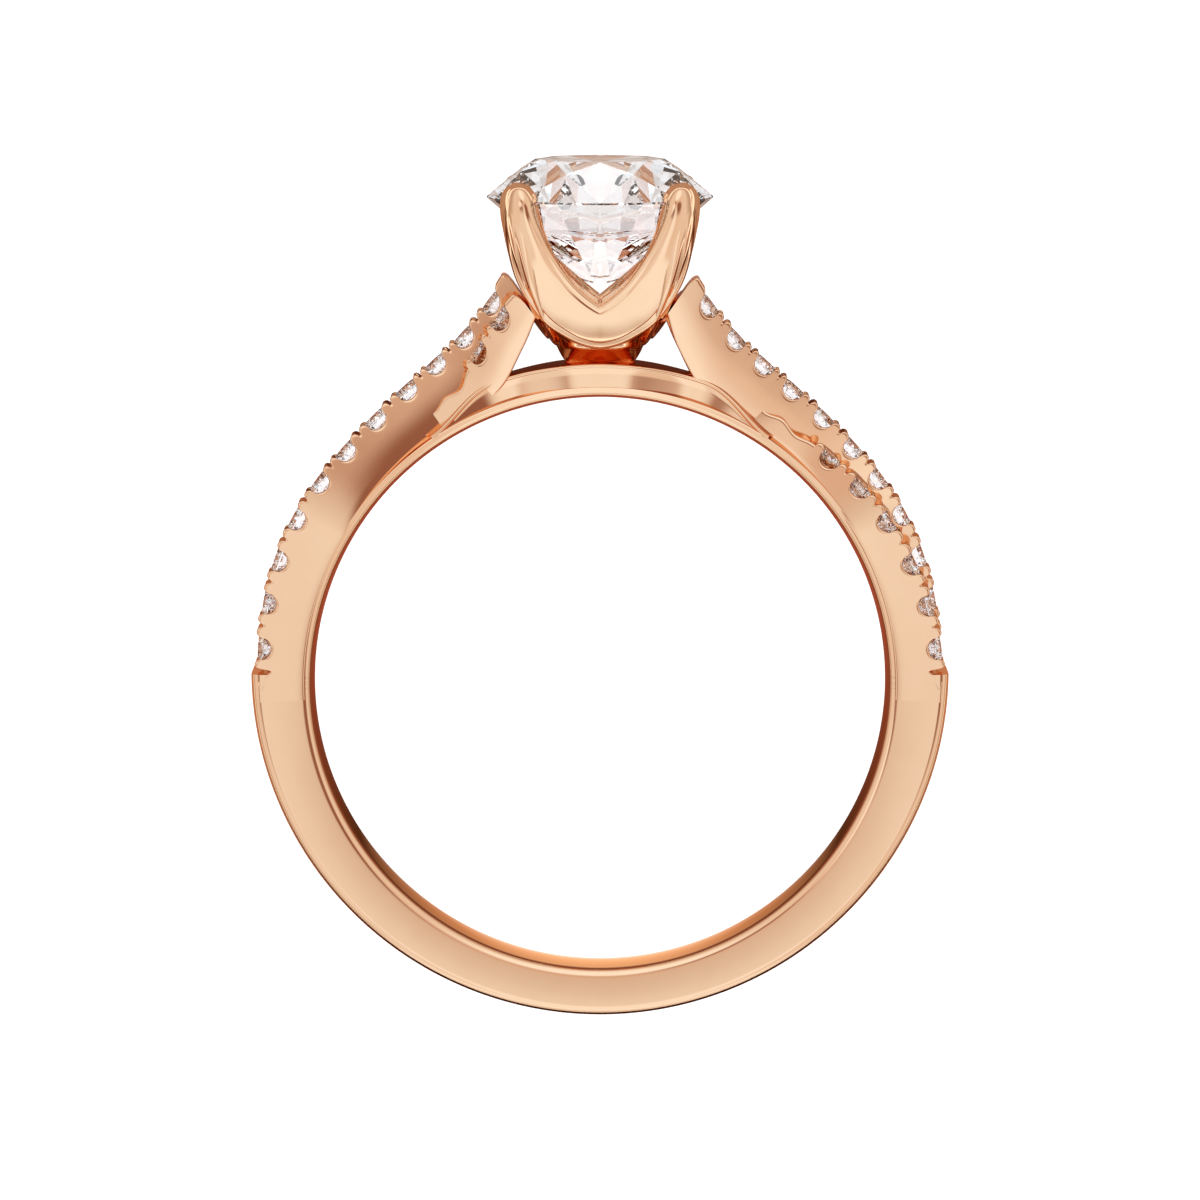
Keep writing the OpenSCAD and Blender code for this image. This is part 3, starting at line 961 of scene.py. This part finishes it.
def make_painted_shade_card():
    """A warm glowing card on the floor under the ring, which shows only in the metal's reflections and
    paints shade and light into them.
    """
    material, nodes, links = new_material("painted_shade_card")
    nodes.clear()
    place = nodes.new("ShaderNodeTexCoord").outputs["Object"]
    glow = nodes.new("ShaderNodeEmission")
    links.new(painted_card_shade(nodes, links, place), glow.inputs["Color"])
    output = nodes.new("ShaderNodeOutputMaterial")
    links.new(glow.outputs["Emission"], output.inputs["Surface"])
    card = make_sheet("painted_shade_card", CARD_HALF * MM, CARD_LIFT * MM, material)
    # Hidden from the camera, so its painted shade and light show only in the metal's reflections.
    card.visible_camera = False
    card.visible_diffuse = False
    card.visible_transmission = False
    card.visible_shadow = False


def sky_card(nodes, links, place, above, sky, card):
    """The sky's colour with one soft card over it."""
    (x, y), (half_x, half_y), colour = card
    apart = operation_node(nodes, "ShaderNodeVectorMath", "SUBTRACT")
    apart.inputs[1].default_value = (x, y, 0)
    links.new(place, apart.inputs[0])
    scaled = operation_node(nodes, "ShaderNodeVectorMath", "MULTIPLY")
    scaled.inputs[1].default_value = (1 / half_x, 1 / half_y, 0)
    links.new(apart.outputs["Vector"], scaled.inputs[0])
    length = operation_node(nodes, "ShaderNodeVectorMath", "LENGTH")
    links.new(scaled.outputs["Vector"], length.inputs[0])
    share = nodes.new("ShaderNodeMapRange")
    share.interpolation_type = "SMOOTHSTEP"
    share.inputs["From Min"].default_value = CARD_OUTSIDE
    share.inputs["From Max"].default_value = CARD_INSIDE
    links.new(length.outputs["Value"], share.inputs["Value"])
    there = operation_node(nodes, "ShaderNodeMath", "MULTIPLY")
    links.new(share.outputs["Result"], there.inputs[0])
    links.new(above, there.inputs[1])
    mix = nodes.new("ShaderNodeMix")
    mix.data_type = "RGBA"
    mix.inputs[7].default_value = (*colour, 1)
    links.new(there.outputs["Value"], mix.inputs[0])
    links.new(sky, mix.inputs[6])
    return mix.outputs[2]


def make_world():
    """Pale studio surroundings with warm darker bands between the soft cards."""
    world = bpy.data.worlds.new("studio")
    world.use_nodes = True
    nodes, links = world.node_tree.nodes, world.node_tree.links
    place = nodes.new("ShaderNodeTexCoord").outputs["Generated"]
    split = nodes.new("ShaderNodeSeparateXYZ")
    links.new(place, split.inputs["Vector"])
    ramp = colour_ramp(nodes, SKY_STOPS)
    links.new(split.outputs["Z"], ramp.inputs["Fac"])
    above = operation_node(nodes, "ShaderNodeMath", "GREATER_THAN")
    above.inputs[1].default_value = 0.0
    links.new(split.outputs["Z"], above.inputs[0])
    sky = ramp.outputs["Color"]
    for card in CARDS:
        sky = sky_card(nodes, links, place, above.outputs["Value"], sky, card)
    background = nodes["Background"]
    links.new(sky, background.inputs["Color"])
    background.inputs["Strength"].default_value = 1.0
    bpy.context.scene.world = world


def make_camera():
    """The photograph's view of the upright ring, carried with it as it lies down."""
    rise = math.radians(VIEW_RISE)
    target = Vector((0, 0, VIEW_TARGET_Z))
    place = target + VIEW_DISTANCE * Vector((0, -math.cos(rise), math.sin(rise)))
    look = (target - place).normalized()
    up = Vector((0, math.sin(rise), math.cos(rise)))
    right = look.cross(up).normalized()
    turn = LAY_DOWN.to_3x3() * (1 / MM)
    axes = Matrix((turn @ right, turn @ up, turn @ -look)).transposed()
    data = bpy.data.cameras.new("photo_camera")
    data.sensor_width = SENSOR_W
    data.sensor_fit = "HORIZONTAL"
    data.lens = PHOTO_FOCAL_PX / PHOTO_SIZE * SENSOR_W
    data.clip_start = 0.01
    data.clip_end = 10
    camera = bpy.data.objects.new("photo_camera", data)
    camera.matrix_world = Matrix.Translation(LAY_DOWN @ place) @ axes.to_4x4()
    bpy.context.scene.collection.objects.link(camera)
    bpy.context.scene.camera = camera


def set_light_paths():
    """Plain colours, and enough turns of light for the stones and the metal."""
    bpy.context.scene.view_settings.view_transform = "Standard"
    cycles = bpy.context.scene.cycles
    cycles.max_bounces = STONE_BOUNCES
    cycles.transmission_bounces = STONE_BOUNCES
    cycles.glossy_bounces = METAL_BOUNCES


gold = rose_gold()
make_camera()
make_floor()
make_painted_shade_card()
make_world()
make_shank(gold)
make_rail(gold)
make_bridge(gold)
make_strands(gold)
make_petals(gold)
make_feet(gold)
make_base(gold)
make_centre_stone(clear_diamond("centre_diamond"))
make_small_stones(clear_diamond("small_diamond"))
set_light_paths()
